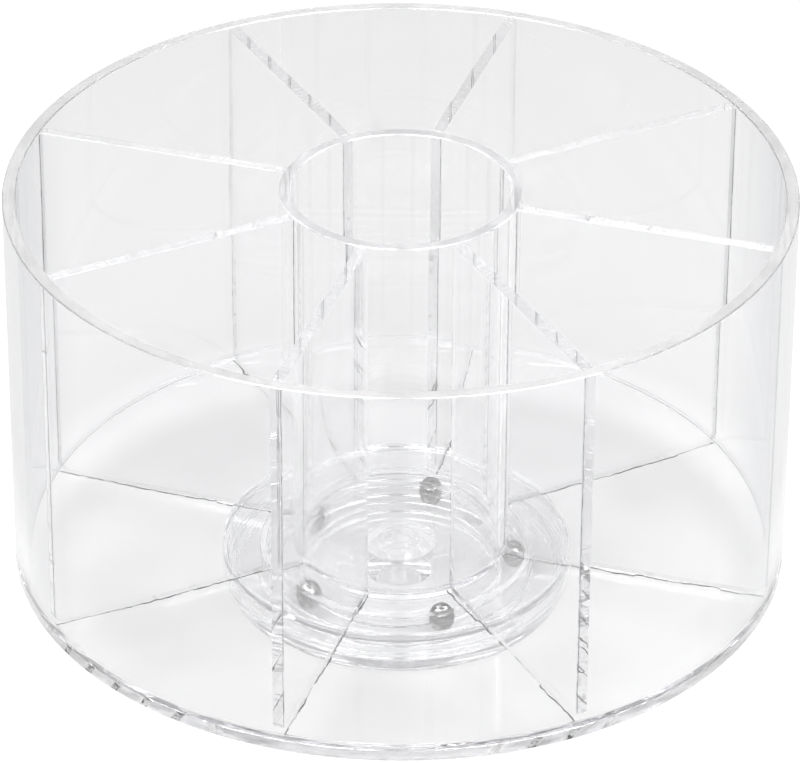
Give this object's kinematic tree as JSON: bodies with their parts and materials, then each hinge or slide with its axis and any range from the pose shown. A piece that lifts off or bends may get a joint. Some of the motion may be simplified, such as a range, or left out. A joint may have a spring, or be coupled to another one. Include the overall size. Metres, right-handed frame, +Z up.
{
  "type": "rotating cosmetics organiser",
  "caption": "Clear open-topped round organiser with wedge compartments round a middle well, which turns on a ball-bearing turntable under its floor.",
  "frame": {"origin": "on the table, under the middle of the organiser, on the axis that it turns about", "axes": "+Z up along the axis that it turns about; -Y is the side nearest the camera in the picture, give or take 5 degrees, and points at the middle of one compartment"},
  "size_m": [0.3, 0.3, 0.178],
  "materials": {
    "clear_acrylic": "clear, polished",
    "divider_acrylic": "clear, with saw-cut edges",
    "turntable_plastic": "clear, moulded",
    "retainer_plastic": "clear, moulded",
    "steel": "polished",
    "foot_vinyl": "soft, translucent"
  },
  "bodies": {
    "stand": {"turntable_bottom": "turntable_plastic", "pivot_pin": "turntable_plastic", "pivot_washer": "turntable_plastic", "foot_1": "foot_vinyl", "foot_2": "foot_vinyl", "foot_3": "foot_vinyl", "foot_4": "foot_vinyl"},
    "caddy": {"turntable_top": "turntable_plastic", "base_disc": "clear_acrylic", "outer_wall": "clear_acrylic", "centre_tube": "clear_acrylic", "divider_1": "divider_acrylic", "divider_2": "divider_acrylic", "divider_3": "divider_acrylic", "divider_4": "divider_acrylic", "divider_5": "divider_acrylic", "divider_6": "divider_acrylic", "divider_7": "divider_acrylic", "divider_8": "divider_acrylic"},
    "ball_cage": {"ball_retainer": "retainer_plastic"},
    "ball_1": {"bearing_ball_1": "steel"},
    "ball_2": {"bearing_ball_2": "steel"},
    "ball_3": {"bearing_ball_3": "steel"},
    "ball_4": {"bearing_ball_4": "steel"},
    "ball_5": {"bearing_ball_5": "steel"}
  },
  "joints": [
    {"name": "turntable_spin", "type": "hinge", "parent": "stand", "child": "caddy", "pos_m": [0, 0, 0.0184], "axis": [0, 0, 1], "continuous": true},
    {"name": "cage_spin", "type": "hinge", "parent": "stand", "child": "ball_cage", "pos_m": [0, 0, 0.0111], "axis": [0, 0, 1], "continuous": true},
    {"name": "ball_1_roll", "type": "hinge", "parent": "ball_cage", "child": "ball_1", "pos_m": [0.01242, -0.04636, 0.0111], "axis": [0.2588, -0.9659, 0], "continuous": true},
    {"name": "ball_2_roll", "type": "hinge", "parent": "ball_cage", "child": "ball_2", "pos_m": [0.04793, -0.00251, 0.0111], "axis": [0.9986, -0.0523, 0], "continuous": true},
    {"name": "ball_3_roll", "type": "hinge", "parent": "ball_cage", "child": "ball_3", "pos_m": [0.0172, 0.04481, 0.0111], "axis": [0.3584, 0.9336, 0], "continuous": true},
    {"name": "ball_4_roll", "type": "hinge", "parent": "ball_cage", "child": "ball_4", "pos_m": [-0.0373, 0.03021, 0.0111], "axis": [-0.7771, 0.6293, 0], "continuous": true},
    {"name": "ball_5_roll", "type": "hinge", "parent": "ball_cage", "child": "ball_5", "pos_m": [-0.04026, -0.02614, 0.0111], "axis": [-0.8387, -0.5446, 0], "continuous": true}
  ],
  "couplings": [
    {"joint": "cage_spin", "follows": "turntable_spin", "ratio": 0.5},
    {"joint": "ball_1_roll", "follows": "turntable_spin", "ratio": -4.8},
    {"joint": "ball_2_roll", "follows": "turntable_spin", "ratio": -4.8},
    {"joint": "ball_3_roll", "follows": "turntable_spin", "ratio": -4.8},
    {"joint": "ball_4_roll", "follows": "turntable_spin", "ratio": -4.8},
    {"joint": "ball_5_roll", "follows": "turntable_spin", "ratio": -4.8}
  ]
}
